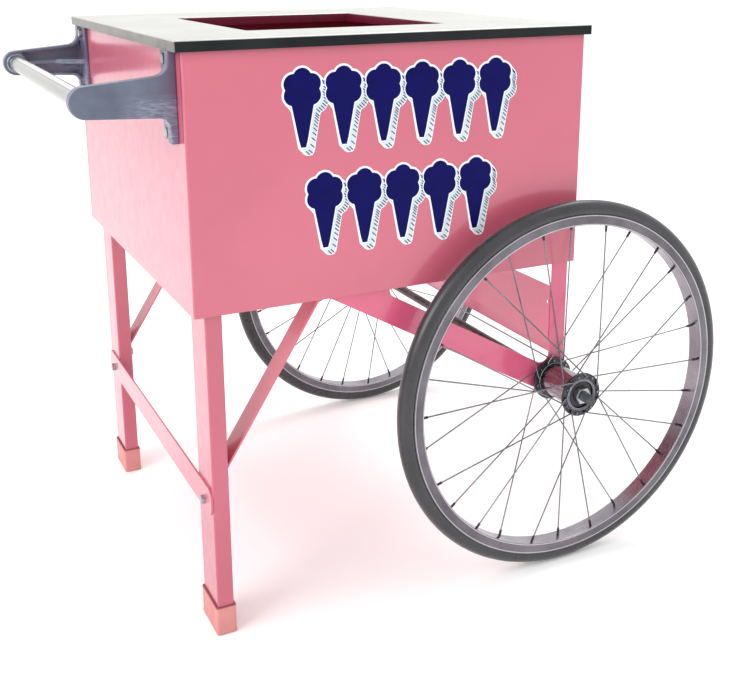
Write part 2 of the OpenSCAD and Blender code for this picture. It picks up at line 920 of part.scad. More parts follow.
countertop();
countertop_core();
front_panel();
rear_panel();
handle_end_panel();
wheel_end_panel();
corner_angles();
floor_pan();
leg_front();
leg_rear();
leg_bolts();
leg_weld_nuts();
foot_cap_front();
foot_cap_rear();
leg_cross_bar();
cross_bar_bolts();
cross_bar_nuts();
brace_front();
brace_rear();
brace_bolts();
brace_nuts();
axle_bracket_front();
axle_bracket_rear();
bracket_bolts();
bracket_nuts();
axle_cross_panel();
axle();
axle_spacers();
axle_nuts();
front_tyre();
rear_tyre();
front_rim();
rear_rim();
front_spokes();
rear_spokes();
front_nipples();
rear_nipples();
front_hub();
rear_hub();
front_bearings();
rear_bearings();
handle_bracket_front();
handle_bracket_rear();
handle_bolts();
handle_nuts();
handle_set_screws();
handle_tube();
side_decal();
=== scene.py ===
"""Looks of the two-wheeled cotton candy cart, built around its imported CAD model."""

import json
import math

import bmesh
import bpy
from mathutils import Euler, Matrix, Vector


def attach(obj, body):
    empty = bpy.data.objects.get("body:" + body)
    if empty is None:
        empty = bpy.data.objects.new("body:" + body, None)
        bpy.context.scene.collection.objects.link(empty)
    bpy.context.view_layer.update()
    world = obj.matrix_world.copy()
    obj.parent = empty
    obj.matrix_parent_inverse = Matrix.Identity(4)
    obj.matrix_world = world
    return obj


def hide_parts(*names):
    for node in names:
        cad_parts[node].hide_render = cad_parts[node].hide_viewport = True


# ---------- sizes, in millimetres, as the CAD model has them ----------

BODY_X0, BODY_X1 = -381.0, 249.0
HALF_W = 329.0
BODY_Z0, BODY_Z1 = 500.0, 858.0
SHEET = 1.5
TOP_Z = 873.0
TOP_OVER_X, TOP_OVER_Y = 10.0, 4.5
WELL_X, WELL_Y = -82.5, -17.5
WELL_L, WELL_W = 327.0, 366.0
LEG_X, LEG_Y = -351.1, 286.2
LEG_L, LEG_W = 25.0, 68.0
CAP_WALL, CAP_H = 3.0, 46.0
AXLE_X, AXLE_Z = 215.0, 305.0
WHEEL_Y = 367.0
TYRE_R, TYRE_HALF = 291.0, 14.0
RIM_R, RIM_HALF, RIM_BED = 285.0, 14.0, 267.5
HANDLE_X, HANDLE_Z, HANDLE_R = -499.0, 797.0, 13.0
ARM_Y, ARM_T, ARM_RIM, ARM_WEB = 303.0, 18.0, 4.5, 6.5
FOOT_T, FOOT_W, FOOT_HALF = 5.0, 54.0, 61.0
DECAL_X, DECAL_Z = -63.0, 700.0
SIDES = {"front": -1, "rear": 1}

MM = 0.001

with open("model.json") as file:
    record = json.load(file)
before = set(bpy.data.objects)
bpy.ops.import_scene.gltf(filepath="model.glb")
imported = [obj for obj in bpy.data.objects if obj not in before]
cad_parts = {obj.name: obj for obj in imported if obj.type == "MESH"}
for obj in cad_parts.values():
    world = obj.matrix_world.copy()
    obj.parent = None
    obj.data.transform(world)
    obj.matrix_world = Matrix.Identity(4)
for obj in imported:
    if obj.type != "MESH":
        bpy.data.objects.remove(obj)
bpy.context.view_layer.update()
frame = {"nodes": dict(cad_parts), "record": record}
scene = bpy.context.scene


# ---------- materials ----------


def linear(r, g, b):
    """A colour given as 0-255 display values, in the shader's linear values."""
    values = [((c / 255 + 0.055) / 1.055) ** 2.4 if c > 10 else c / 255 / 12.92 for c in (r, g, b)]
    return (*values, 1.0)


class Mat:
    """A procedural material: a Principled shader and the nodes that feed it."""

    def __init__(self, name, **sockets):
        self.m = bpy.data.materials.new(name)
        self.m.use_nodes = True
        self.t = self.m.node_tree
        self.p = self.t.nodes["Principled BSDF"]
        for key, value in sockets.items():
            self.p.inputs[key.replace("_", " ")].default_value = value

    def node(self, kind, **values):
        n = self.t.nodes.new(kind)
        for key, value in values.items():
            if hasattr(n, key):
                setattr(n, key, value)
            else:
                n.inputs[key.replace("_", " ")].default_value = value
        return n

    def link(self, a, b):
        self.t.links.new(a, b)

    def coords(self, scale=(1, 1, 1)):
        """Object coordinates in metres, scaled along each axis."""
        tc = self.node("ShaderNodeTexCoord")
        mp = self.node("ShaderNodeMapping")
        mp.inputs["Scale"].default_value = scale
        self.link(tc.outputs["Object"], mp.inputs["Vector"])
        return mp.outputs["Vector"]

    def position(self):
        """The three object coordinates of a point, in metres."""
        tc = self.node("ShaderNodeTexCoord")
        sep = self.node("ShaderNodeSeparateXYZ")
        self.link(tc.outputs["Object"], sep.inputs["Vector"])
        return sep.outputs["X"], sep.outputs["Y"], sep.outputs["Z"]

    def noise(self, scale, detail=3.0, rough=0.5, stretch=(1, 1, 1)):
        n = self.node("ShaderNodeTexNoise", Scale=scale, Detail=detail, Roughness=rough)
        self.link(self.coords(stretch), n.inputs["Vector"])
        return n.outputs["Fac"]

    def ramp(self, fac, *stops):
        """Colours or greys along a factor: (position, colour or grey)."""
        r = self.node("ShaderNodeValToRGB")
        e = r.color_ramp.elements
        while len(e) < len(stops):
            e.new(0.5)
        for el, (pos, col) in zip(e, stops):
            el.position = pos
            el.color = col if isinstance(col, tuple) else (col, col, col, 1)
        self.link(fac, r.inputs["Fac"])
        return r.outputs["Color"]

    def mix(self, fac, a, b):
        n = self.node("ShaderNodeMix", data_type="RGBA")
        for value, socket in ((fac, n.inputs[0]), (a, n.inputs[6]), (b, n.inputs[7])):
            if isinstance(value, (tuple, float, int)):
                socket.default_value = value
            else:
                self.link(value, socket)
        return n.outputs[2]

    def math(self, op, a, b=0.0):
        n = self.node("ShaderNodeMath", operation=op)
        for value, socket in ((a, n.inputs[0]), (b, n.inputs[1])):
            if isinstance(value, (float, int)):
                socket.default_value = value
            else:
                self.link(value, socket)
        return n.outputs[0]

    def color(self, socket):
        self.link(socket, self.p.inputs["Base Color"])

    def rough(self, socket):
        self.link(socket, self.p.inputs["Roughness"])

    def bump(self, height, strength, distance):
        """Adds a bump on top of the bumps that are there."""
        last = self.p.inputs["Normal"].links
        b = self.node("ShaderNodeBump", Strength=strength, Distance=distance)
        if last:
            self.link(last[0].from_socket, b.inputs["Normal"])
        self.link(height, b.inputs["Height"])
        self.link(b.outputs["Normal"], self.p.inputs["Normal"])


def varied(a, b):
    """Two close shades of one colour."""
    return linear(*a), linear(*b)


def paint_nodes(name, shade, light, rough):
    """Powder coat: soft mottling, uneven gloss and orange peel."""
    m = Mat(name, Coat_Weight=0.85, Coat_Roughness=0.14, Coat_IOR=1.62, Specular_IOR_Level=0.4)
    lo, hi = varied(shade, light)
    m.color(m.ramp(m.noise(3.2, 4.0, 0.6), (0.3, lo), (0.7, hi)))
    m.rough(m.ramp(m.noise(38.0, 5.0, 0.65), (0.25, rough - 0.05), (0.75, rough + 0.09)))
    m.bump(m.noise(900.0, 2.0, 0.5), 0.06, 0.0004)
    m.bump(m.noise(140.0, 2.0, 0.4), 0.05, 0.0008)
    return m


def paint(name, shade, light, rough=0.34):
    """The powder coat as a finished material."""
    return paint_nodes(name, shade, light, rough).m


def body_paint():
    """The body's pink, with a painted shadow: darker in the last centimetre beneath the countertop's
    overhang.
    """
    m = paint_nodes("pink_paint", (192, 88, 110), (202, 96, 118), 0.34)
    z = m.position()[2]
    # painted shadow of the overhang: the top of the walls is mixed towards a deep pink
    band = m.math("MULTIPLY", m.math("SUBTRACT", z, 0.8), 10.0)
    overhang_shadow = m.ramp(band, (0.44, 0.0), (0.53, 0.22), (0.58, 0.7))
    m.color(m.mix(overhang_shadow, m.p.inputs["Base Color"].links[0].from_socket, linear(128, 44, 62)))
    return m.m


def brushed(name, shade, light, rough, stretch):
    """Metal with fine brushing; the grain is short along an axis that is stretched more."""
    m = Mat(name, Metallic=1.0)
    lo, hi = varied(shade, light)
    lines = m.noise(1.0, 6.0, 0.75, stretch=stretch)
    soft = m.noise(7.0, 3.0, 0.5)
    m.color(m.mix(0.5, m.ramp(lines, (0.3, lo), (0.7, hi)), m.ramp(soft, (0.35, lo), (0.65, hi))))
    m.rough(m.ramp(lines, (0.25, rough - 0.07), (0.75, rough + 0.1)))
    m.bump(lines, 0.12, 0.00015)
    return m.m


def make_materials():
    """Every material by its slot in the record, and those of the extra pieces."""
    mats = {}
    mats["body_paint"] = body_paint()
    # painted shade: the legs get a darker copy of the body's pink because they are lit less
    mats["leg_paint"] = paint("leg_pink_painted_shade", (183, 80, 102), (194, 88, 110))
    mats["brace_paint"] = paint("brace_pink_paint", (208, 90, 114), (220, 98, 122))
    mats["bracket_paint"] = paint("deep_pink_paint", (210, 84, 120), (220, 94, 130))
    mats["countertop_steel"] = brushed(
        "countertop_steel", (190, 190, 185), (214, 214, 208), 0.24, (14, 900, 900))
    # painted reflection: the long sides' skirts get a dark copy of the steel, the ends a pale one
    mats["skirt_painted_dark_reflection"] = brushed("skirt_painted_dark_reflection", (36, 38, 40), (56, 58, 60), 0.34, (10, 900, 900))
    mats["skirt_painted_pale_reflection"] = skirt_painted_pale_reflection()
    # painted shade: the well's lip takes the deep maroon of the shaded inside of the body
    mats["well_lip_painted_shade"] = paint("well_lip_painted_shade", (92, 8, 40), (112, 14, 50), 0.4)
    mats["countertop_board"] = board()
    mats["zinc_fasteners"] = zinc()
    mats["foot_rubber"] = cap_rubber()
    mats["axle_steel"] = aged_steel()
    mats["tyre_rubber"] = rubber("tyre_rubber", (34, 34, 37), (52, 52, 56), 0.3)
    mats["rim_aluminium"] = rim_metal()
    mats["spoke_steel"] = brushed("spoke_steel", (84, 85, 88), (158, 158, 162), 0.26, (9, 9, 9))
    mats["nipple_metal"] = brushed("nipple_metal", (52, 52, 56), (84, 84, 90), 0.35, (90, 90, 90))
    mats["hub_metal"] = hub_metal()
    mats["handle_cast_paint"] = cast_paint()
    mats["handle_tube_metal"] = tube_metal()
    mats["decal_print"] = vinyl("decal_navy", (0, 0, 76), (2, 2, 90))
    mats["collar"] = brushed("collar_alloy", (104, 108, 118), (156, 160, 170), 0.3, (90, 160, 90))
    mats["seal"] = rubber("seal_rubber", (16, 16, 18), (28, 28, 30), 0.4)
    mats["decal_pale"] = vinyl("decal_pale", (196, 211, 216), (212, 224, 228))
    mats["decal_white"] = vinyl("decal_white", (240, 242, 246), (248, 249, 251))
    return mats


def board():
    """Plywood with its grain along the cart."""
    m = Mat("board")
    lo, hi = varied((150, 118, 82), (186, 150, 108))
    m.color(m.ramp(m.noise(6.0, 5.0, 0.6, stretch=(2, 40, 40)), (0.35, lo), (0.65, hi)))
    m.rough(m.ramp(m.noise(90.0), (0.3, 0.6), (0.7, 0.8)))
    return m.m


def zinc():
    """Zinc-plated steel with a fine grain."""
    m = Mat("zinc", Metallic=1.0)
    lo, hi = varied((138, 140, 146), (204, 206, 211))
    m.color(m.ramp(m.noise(210.0, 4.0, 0.65), (0.3, lo), (0.7, hi)))
    m.rough(m.ramp(m.noise(320.0, 3.0), (0.3, 0.28), (0.7, 0.46)))
    m.bump(m.noise(1500.0, 2.0), 0.1, 0.0002)
    return m.m


def rubber(name, shade, light, rough):
    """Dark rubber with a soft sheen and fine pores."""
    m = Mat(name, Specular_IOR_Level=0.55, Sheen_Weight=0.1, Sheen_Roughness=0.5)
    lo, hi = varied(shade, light)
    m.color(m.ramp(m.noise(11.0, 5.0, 0.6), (0.3, lo), (0.7, hi)))
    m.rough(m.ramp(m.noise(60.0, 4.0, 0.6), (0.3, rough - 0.08), (0.7, rough + 0.1)))
    m.bump(m.noise(900.0, 2.0, 0.5), 0.07, 0.0002)
    m.bump(m.noise(120.0, 3.0, 0.5), 0.06, 0.0005)
    return m.m


def cap_rubber():
    """Pink moulded rubber, dusty low down, with a painted shadow line round its lip where the leg enters it.
    """
    m = Mat("salmon_rubber", Specular_IOR_Level=0.35)
    lo, hi = varied((200, 128, 126), (214, 143, 140))
    base = m.ramp(m.noise(16.0, 4.0, 0.6), (0.3, lo), (0.7, hi))
    z = m.math("MULTIPLY", m.position()[2], 10.0)
    # painted shadow: a dark line round the cap's top edge, for the gap against the leg
    lip = m.ramp(z, (0.438, 0.0), (0.452, 0.8))
    low = m.ramp(z, (0.0, 1.0), (0.2, 0.0))
    dust = m.math("MULTIPLY", low, m.ramp(m.noise(120.0, 4.0, 0.7), (0.4, 0.0), (0.7, 0.6)))
    m.color(m.mix(dust, m.mix(lip, base, linear(128, 66, 66)), linear(166, 122, 112)))
    m.rough(m.ramp(m.noise(80.0, 4.0), (0.3, 0.42), (0.7, 0.62)))
    m.bump(m.noise(1400.0, 2.0, 0.6), 0.12, 0.0002)
    return m.m


def radius_from_axle(m):
    """Distance of a point from the axle's line, in metres."""
    x, _, z = m.position()
    dx = m.math("SUBTRACT", x, AXLE_X * MM)
    dz = m.math("SUBTRACT", z, AXLE_Z * MM)
    return m.math("SQRT", m.math("ADD", m.math("MULTIPLY", dx, dx), m.math("MULTIPLY", dz, dz)))


def rim_metal():
    """Violet-grey aluminium: a pale spoke bed, darker flanks and painted highlight lines along the lips."""
    m = Mat("rim_aluminium", Metallic=1.0)
    r = m.math("MULTIPLY", m.math("SUBTRACT", radius_from_axle(m), 0.262), 36.0)
    cloud = m.noise(14.0, 5.0, 0.6)
    flank = m.ramp(cloud, (0.3, linear(94, 91, 97)), (0.7, linear(126, 122, 128)))
    bed = m.ramp(cloud, (0.3, linear(128, 124, 131)), (0.7, linear(164, 160, 166)))
    in_flank = m.ramp(r, (0.235, 0.0), (0.245, 1.0))
    # painted highlights: near-white lines at the spoke bed's lip and at the outer lip
    line = m.ramp(r, (0.235, 0.0), (0.255, 0.9), (0.29, 0.0), (0.71, 0.0), (0.75, 0.75), (0.78, 0.0))
    m.color(m.mix(line, m.mix(in_flank, bed, flank), linear(222, 220, 223)))
    m.rough(m.ramp(m.noise(1.0, 4.0, 0.6, stretch=(60, 420, 60)), (0.3, 0.18), (0.7, 0.3)))
    m.bump(m.noise(320.0, 3.0, 0.5), 0.04, 0.0002)
    return m.m


def tube_metal():
    """Bright plated tube with painted shading round it, greyer below, and a painted dark reflection line
    along its upper side.
    """
    m = Mat("handle_tube_metal", Metallic=1.0)
    x, _, z = m.position()
    dx = m.math("SUBTRACT", x, HANDLE_X * MM)
    dz = m.math("SUBTRACT", z, HANDLE_Z * MM)
    around = m.math("DIVIDE", m.math("ARCTAN2", dz, dx), 2 * math.pi)
    turn = m.math("FRACT", m.math("ADD", around, 1.0))
    # painted light round the tube: brightest on top, greyer below, darkest on the side towards the body; the
    # dark band is a painted reflection line
    painted_dark_reflection = linear(72, 72, 76)
    painted_shading = m.ramp(turn, (0.0, linear(102, 103, 108)), (0.16, linear(196, 197, 199)),
                  (0.24, linear(222, 222, 222)), (0.332, linear(218, 218, 217)), (0.34, painted_dark_reflection),
                  (0.348, painted_dark_reflection), (0.358, linear(172, 171, 167)), (0.54, linear(146, 144, 140)),
                  (0.75, linear(132, 130, 128)), (0.95, linear(104, 104, 108)))
    marks = m.noise(1.0, 5.0, 0.7, stretch=(200, 16, 200))
    m.color(m.mix(0.25, painted_shading, m.ramp(marks, (0.3, linear(150, 150, 152)), (0.7, linear(240, 240, 241)))))
    m.rough(m.ramp(marks, (0.3, 0.12), (0.7, 0.24)))
    m.bump(marks, 0.04, 0.0001)
    return m.m


def skirt_painted_pale_reflection():
    """The countertop's turned-down ends: steel with pale cloudy patches of painted reflection."""
    m = Mat("skirt_painted_pale_reflection", Metallic=1.0)
    cloud = m.noise(26.0, 5.0, 0.62)
    lines = m.noise(1.0, 5.0, 0.7, stretch=(900, 12, 900))
    m.color(m.mix(0.35, m.ramp(cloud, (0.35, linear(112, 108, 105)), (0.62, linear(166, 161, 157))),
                  m.ramp(lines, (0.3, linear(112, 110, 108)), (0.7, linear(166, 163, 160)))))
    m.rough(m.ramp(cloud, (0.3, 0.26), (0.7, 0.42)))
    m.bump(lines, 0.1, 0.00015)
    return m.m


def aged_steel():
    """Brown-black steel bar with small rust specks, clean and threaded at its ends."""
    m = Mat("aged_steel", Metallic=0.85)
    end = m.ramp(m.math("ABSOLUTE", m.position()[1]), (0.318, 0.0), (0.326, 1.0))
    lo, hi = varied((62, 54, 58), (112, 98, 102))
    grain = m.noise(60.0, 5.0, 0.65)
    specks = m.ramp(m.noise(420.0, 3.0, 0.6), (0.62, 0.0), (0.68, 0.8))
    middle = m.mix(specks, m.ramp(grain, (0.3, lo), (0.7, hi)), linear(74, 34, 24))
    lo, hi = varied((58, 59, 63), (98, 99, 104))
    m.color(m.mix(end, middle, m.ramp(grain, (0.3, lo), (0.7, hi))))
    m.rough(m.ramp(m.noise(200.0, 3.0), (0.3, 0.28), (0.7, 0.46)))
    m.bump(m.noise(600.0, 3.0), 0.12, 0.0002)
    return m.m


def vinyl(name, shade, light):
    """Printed film, matt and nearly even."""
    m = Mat(name, Specular_IOR_Level=0.12)
    lo, hi = varied(shade, light)
    m.color(m.ramp(m.noise(30.0, 5.0, 0.6), (0.3, lo), (0.7, hi)))
    m.rough(m.ramp(m.noise(80.0, 3.0), (0.3, 0.38), (0.7, 0.5)))
    m.bump(m.noise(700.0, 2.0), 0.05, 0.0003)
    return m.m


def hub_metal():
    """Polished inside the flanges' spoke circle, dark and satin on the flanges."""
    m = Mat("hub_metal", Metallic=1.0)
    zone = m.math("GREATER_THAN", radius_from_axle(m), 26.6 * MM)
    grain = m.noise(260.0, 4.0, 0.6)
    barrel = m.ramp(grain, (0.3, linear(140, 130, 138)), (0.7, linear(168, 158, 166)))
    flange = m.ramp(grain, (0.3, linear(50, 51, 55)), (0.7, linear(86, 88, 92)))
    m.color(m.mix(zone, barrel, flange))
    m.rough(m.math("ADD", m.math("MULTIPLY", zone, 0.22), m.ramp(grain, (0.3, 0.1), (0.7, 0.18))))
    m.bump(m.noise(900.0, 2.0), 0.08, 0.0002)
    return m.m


def cast_paint():
    """Slate paint on a casting, rubbed paler low on the arms, violet at the wall."""
    m = Mat("slate_cast_paint", Coat_Weight=0.35, Coat_Roughness=0.22)
    lo, hi = varied((78, 86, 104), (98, 107, 126))
    x, _, z = m.position()
    from_tip = m.math("ADD", x, 0.9)
    wall = m.ramp(from_tip, (0.485, 0.0), (0.512, 1.0))
    low = m.ramp(m.math("SUBTRACT", 1.3, z), (0.496, 0.0), (0.51, 1.0))
    along = m.ramp(from_tip, (0.44, 0.0), (0.47, 1.0))
    streaks = m.ramp(m.noise(1.0, 5.0, 0.7, stretch=(60, 60, 420)), (0.42, 0.1), (0.66, 1.0))
    rub = m.math("MULTIPLY", m.math("MULTIPLY", low, along), m.math("MULTIPLY", streaks, 0.7))
    base = m.ramp(m.noise(20.0, 4.0, 0.6), (0.3, lo), (0.7, hi))
    m.color(m.mix(rub, m.mix(wall, base, linear(86, 80, 104)), linear(150, 158, 178)))
    m.rough(m.ramp(m.noise(70.0, 4.0), (0.3, 0.34), (0.7, 0.52)))
    m.bump(m.noise(620.0, 3.0, 0.6), 0.22, 0.0005)
    m.bump(m.noise(90.0, 3.0, 0.5), 0.12, 0.0012)
    return m.m


# ---------- mesh helpers ----------


def finish_mesh(name, bm, material, body, replaces=(), smooth=True):
    """Turns a bmesh in millimetres into a piece that rides on a body."""
    bmesh.ops.scale(bm, vec=(MM, MM, MM), verts=bm.verts)
    bmesh.ops.recalc_face_normals(bm, faces=bm.faces)
    me = bpy.data.meshes.new(name)
    bm.to_mesh(me)
    bm.free()
    me.polygons.foreach_set("use_smooth", [smooth] * len(me.polygons))
    o = bpy.data.objects.new(name, me)
    scene.collection.objects.link(o)
    me.materials.append(material)
    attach(o, body)
    if replaces:
        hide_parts(*replaces)
    return o


def bevel(o, width, segments):
    """Round edges with shading that keeps flat faces flat."""
    b = o.modifiers.new("edge", "BEVEL")
    b.width = width * MM
    b.segments = segments
    b.limit_method = "ANGLE"
    b.angle_limit = math.radians(32)
    b.harden_normals = True
    b.miter_outer = "MITER_ARC"
    n = o.modifiers.new("shade", "WEIGHTED_NORMAL")
    n.keep_sharp = True


def soften_cad(o, width=0.5, segments=2):
    """Small round edges on a CAD node: its split corners are welded, then bevelled."""
    if o.data.attributes.get("custom_normal"):
        o.data.attributes.remove(o.data.attributes["custom_normal"])
    o.data.polygons.foreach_set("use_smooth", [True] * len(o.data.polygons))
    w = o.modifiers.new("weld", "WELD")
    w.merge_threshold = 2e-5
    bevel(o, width, segments)


def lathe(name, profile, y, steps, material, body, replaces=(), outward=1, centre=(AXLE_X, AXLE_Z)):
    """Turns a closed profile of (radius, distance along Y) about a line along Y."""
    cx, cz = centre
    bm = bmesh.new()
    rings = []
    for i in range(steps):
        a = 2 * math.pi * i / steps
        c, s = math.cos(a), math.sin(a)
        rings.append([bm.verts.new((cx + r * c, y + outward * d, cz + r * s)) for r, d in profile])
    n = len(profile)
    for i in range(steps):
        a, b = rings[i], rings[(i + 1) % steps]
        for j in range(n):
            k = (j + 1) % n
            bm.faces.new((a[j], a[k], b[k], b[j]))
    return finish_mesh(name, bm, material, body, replaces)


def arc(cx, cy, r, a0, a1, n):
    """Points of an arc, angles in degrees."""
    return [
        (cx + r * math.cos(math.radians(a0 + (a1 - a0) * i / n)),
         cy + r * math.sin(math.radians(a0 + (a1 - a0) * i / n)))
        for i in range(n + 1)
    ]


def round_rect(hx, hy, r, n=6):
    """An anticlockwise rectangle about 0 with round corners."""
    pts = []
    for sx, sy, a in ((1, -1, -90), (1, 1, 0), (-1, 1, 90), (-1, -1, 180)):
        pts += arc(sx * (hx - r), sy * (hy - r), r, a, a + 90, n)
    return pts


def loft(name, rings, material, body, replaces=()):
    """Joins rings of points, each with the same count, and caps both ends."""
    bm = bmesh.new()
    loops = [[bm.verts.new(p) for p in ring] for ring in rings]
    n = len(loops[0])
    for a, b in zip(loops, loops[1:]):
        for j in range(n):
            k = (j + 1) % n
            bm.faces.new((a[j], a[k], b[k], b[j]))
    bm.faces.new(loops[0][::-1])
    bm.faces.new(loops[-1])
    return finish_mesh(name, bm, material, body, replaces)


def prism(bm, outline, place, thick):
    """A flat plate: outline is (u, v) pairs, place maps (u, v, depth) to a point."""
    a = [bm.verts.new(place(u, v, 0)) for u, v in outline]
    b = [bm.verts.new(place(u, v, thick)) for u, v in outline]
    n = len(a)
    bm.faces.new(a)
    bm.faces.new(b[::-1])
    for i in range(n):
        k = (i + 1) % n
        bm.faces.new((a[i], b[i], b[k], a[k]))


mats = make_materials()
nodes = frame["nodes"]
record = frame["record"]
slot_of = {s["node"]: s["material_slot"] for s in record["subparts"]}


# ---------- CAD nodes: every one gets its material, and all but those in PLAIN softened edges ---

EDGE = {
    "leg_front": 2.2, "leg_rear": 2.2, "leg_cross_bar": 0.7, "axle_bracket_front": 0.7,
    "axle_bracket_rear": 0.7, "brace_front": 0.6, "brace_rear": 0.6, "axle_cross_panel": 0.5,
    "front_hub": 0.5, "rear_hub": 0.5, "handle_tube": 0.4,
}
PLAIN = ("front_spokes", "rear_spokes", "front_nipples", "rear_nipples", "side_decal")

for name, o in nodes.items():
    o.data.materials.clear()
    o.data.materials.append(mats[slot_of[name]])
    if name not in PLAIN:
        soften_cad(o, EDGE.get(name, 0.45))
# the legs take the darker copy of the pink, a painted shade
for side in SIDES:
    nodes[f"leg_{side}"].data.materials[0] = mats["leg_paint"]
    nodes[f"brace_{side}"].data.materials[0] = mats["brace_paint"]


# ---------- body ----------


FOLD_BACK = 9.0  # length of a side wall's folded edges
HEM = 0.6  # height of the rounding of a sheet's lower edge


def folded_wall(side):
    """A long side wall, folded round both ends of the body with a small radius."""
    r = 2.6
    s = SIDES[side]
    end_y = HALF_W - FOLD_BACK

    def outline(inset):
        start, stop = (BODY_X0 + inset, end_y), (BODY_X1 - inset, end_y)
        first = arc(BODY_X0 + r, HALF_W - r, r - inset, 180, 90, 6)
        last = arc(BODY_X1 - r, HALF_W - r, r - inset, 90, 0, 6)
        return [start] + first + last + [stop]

    outer, inner = outline(0.0), outline(SHEET)
    bm = bmesh.new()
    cols = []
    for (xo, yo), (xi, yi) in zip(outer, inner):
        mx, my = (xo + xi) / 2, (yo + yi) / 2
        col = [(xo, yo, BODY_Z1), (xo, yo, BODY_Z0 + HEM), (mx, my, BODY_Z0)]
        col += [(xi, yi, BODY_Z0 + HEM), (xi, yi, BODY_Z1)]
        cols.append([bm.verts.new((x, s * y, z)) for x, y, z in col])
    for a, b in zip(cols, cols[1:]):
        for j in range(len(a)):
            k = (j + 1) % len(a)
            bm.faces.new((a[j], b[j], b[k], a[k]))
    bm.faces.new(cols[0])
    bm.faces.new(cols[-1][::-1])
    o = finish_mesh(f"{side}_panel_folded", bm, mats["body_paint"], "cart", [f"{side}_panel"])
    o.modifiers.new("shade", "WEIGHTED_NORMAL")


def end_wall(name, x, out):
    """An end wall between the folds of the side walls, with a rounded lower edge."""
    half = HALF_W - FOLD_BACK
    bm = bmesh.new()
    x_in = x - out * SHEET
    prof = [(x, BODY_Z1), (x, BODY_Z0 + HEM), ((x + x_in) / 2, BODY_Z0)]
    prof += [(x_in, BODY_Z0 + HEM), (x_in, BODY_Z1)]
    ends = [[bm.verts.new((px, y, pz)) for px, pz in prof] for y in (-half, half)]
    for j in range(len(prof)):
        k = (j + 1) % len(prof)
        bm.faces.new((ends[0][j], ends[1][j], ends[1][k], ends[0][k]))
    bm.faces.new(ends[0])
    bm.faces.new(ends[1][::-1])
    o = finish_mesh(f"{name}_sheet", bm, mats["body_paint"], "cart", [name])
    o.modifiers.new("shade", "WEIGHTED_NORMAL")


for side in SIDES:
    folded_wall(side)
end_wall("handle_end_panel", BODY_X0, -1)
end_wall("wheel_end_panel", BODY_X1, 1)


def countertop():
    """The stainless top: rolled outer edge, rolled well edge and turned-down lips, with painted reflection on
    its skirts and painted shade on the well's lip.
    """
    cx = (BODY_X0 + BODY_X1) / 2
    hx, hy = (BODY_X1 - BODY_X0) / 2 + TOP_OVER_X, HALF_W + TOP_OVER_Y
    wx, wy = WELL_L / 2, WELL_W / 2
    skin, roll = 1.2, 1.6
    roll_z = TOP_Z - roll
    rings = []

    def ring(mx, my, ox, oy, r, z):
        rings.append([(mx + x, my + y, z) for x, y in round_rect(ox, oy, r, 4)])

    def well(grow, r, z):
        ring(WELL_X, WELL_Y, wx + grow, wy + grow, r, z)

    def edge(shrink, r, z):
        ring(cx, 0, hx - shrink, hy - shrink, r, z)

    def on_roll(a):
        k = math.radians(a)
        return roll * (1 - math.cos(k)), roll_z + roll * math.sin(k)

    # the well's inner lip, from below, over its roll, across the top and down the outer lip
    well(0, 1.0, BODY_Z1 + 0.2)
    well(0, 1.0, roll_z)
    for a in (22, 45, 67, 90):
        d, z = on_roll(a)
        well(d, 1.2, z)
    for a in (90, 67, 45, 22, 0):
        d, z = on_roll(a)
        edge(d, 2.0, z)
    edge(0, 2.0, BODY_Z1 + 0.5)
    edge(0.4, 1.8, BODY_Z1)
    edge(skin, 1.0, BODY_Z1 + 0.3)
    edge(skin, 1.0, TOP_Z - skin)
    well(skin, 1.0, TOP_Z - skin)
    well(skin, 1.0, BODY_Z1 + 0.2)

    # material indices: plain steel, the dark painted reflection of the long skirts, the pale painted
    # reflection of the end skirts, the well lip's painted shade
    steel, dark_reflection_side, pale_reflection_end, well_lip_shade = range(4)
    bm = bmesh.new()
    loops = [[bm.verts.new(p) for p in r] for r in rings]
    loops.append(loops[0])
    m = len(loops[0])
    for i, (a, b) in enumerate(zip(loops, loops[1:])):
        for j in range(m):
            k = (j + 1) % m
            f = bm.faces.new((a[j], a[k], b[k], b[j]))
            mid = f.calc_center_median()
            f.material_index = steel
            # the well's lips get the painted shade
            if i < 2 or i >= len(loops) - 3:
                f.material_index = well_lip_shade
            elif mid.z < TOP_Z - roll * 0.9:
                on_side = abs(mid.y) > abs(mid.x - cx) + hy - hx + 1.0
                f.material_index = dark_reflection_side if on_side else pale_reflection_end
    o = finish_mesh("countertop_sheet", bm, mats["countertop_steel"], "cart",
                    ["countertop"])
    for extra in ("skirt_painted_dark_reflection", "skirt_painted_pale_reflection", "well_lip_painted_shade"):
        o.data.materials.append(mats[extra])
    o.modifiers.new("shade", "WEIGHTED_NORMAL")


countertop()


# ---------- legs ----------


def foot_cap(side):
    """A moulded rubber cap: rounded corners, a foot bead and a lip round the tube."""
    s = SIDES[side]
    hx, hy = LEG_L / 2 + CAP_WALL, LEG_W / 2 + CAP_WALL
    foot_bead = [(-2.2, 0.0), (-0.6, 0.6), (0.0, 2.2), (0.0, 6.0)]
    wall = [(-0.5, 7.0), (-0.5, 8.0), (-0.3, 20.0), (-0.5, CAP_H - 8), (-0.5, CAP_H - 5)]
    lip = [(0.0, CAP_H - 4), (0.0, CAP_H - 1.2), (-0.8, CAP_H - 0.2), (-1.6, CAP_H)]
    inside = [(-CAP_WALL + 0.2, CAP_H - 0.4), (-CAP_WALL + 0.1, CAP_H - 12)]
    rings = [
        [(LEG_X + x, s * LEG_Y + y, z) for x, y in round_rect(hx + d, hy + d, 4.0 + d * 0.6, 6)]
        for d, z in foot_bead + wall + lip + inside
    ]
    loft(f"foot_cap_{side}_moulded", rings, mats["foot_rubber"], "cart", [f"foot_cap_{side}"])


for side in SIDES:
    foot_cap(side)


# ---------- wheels ----------


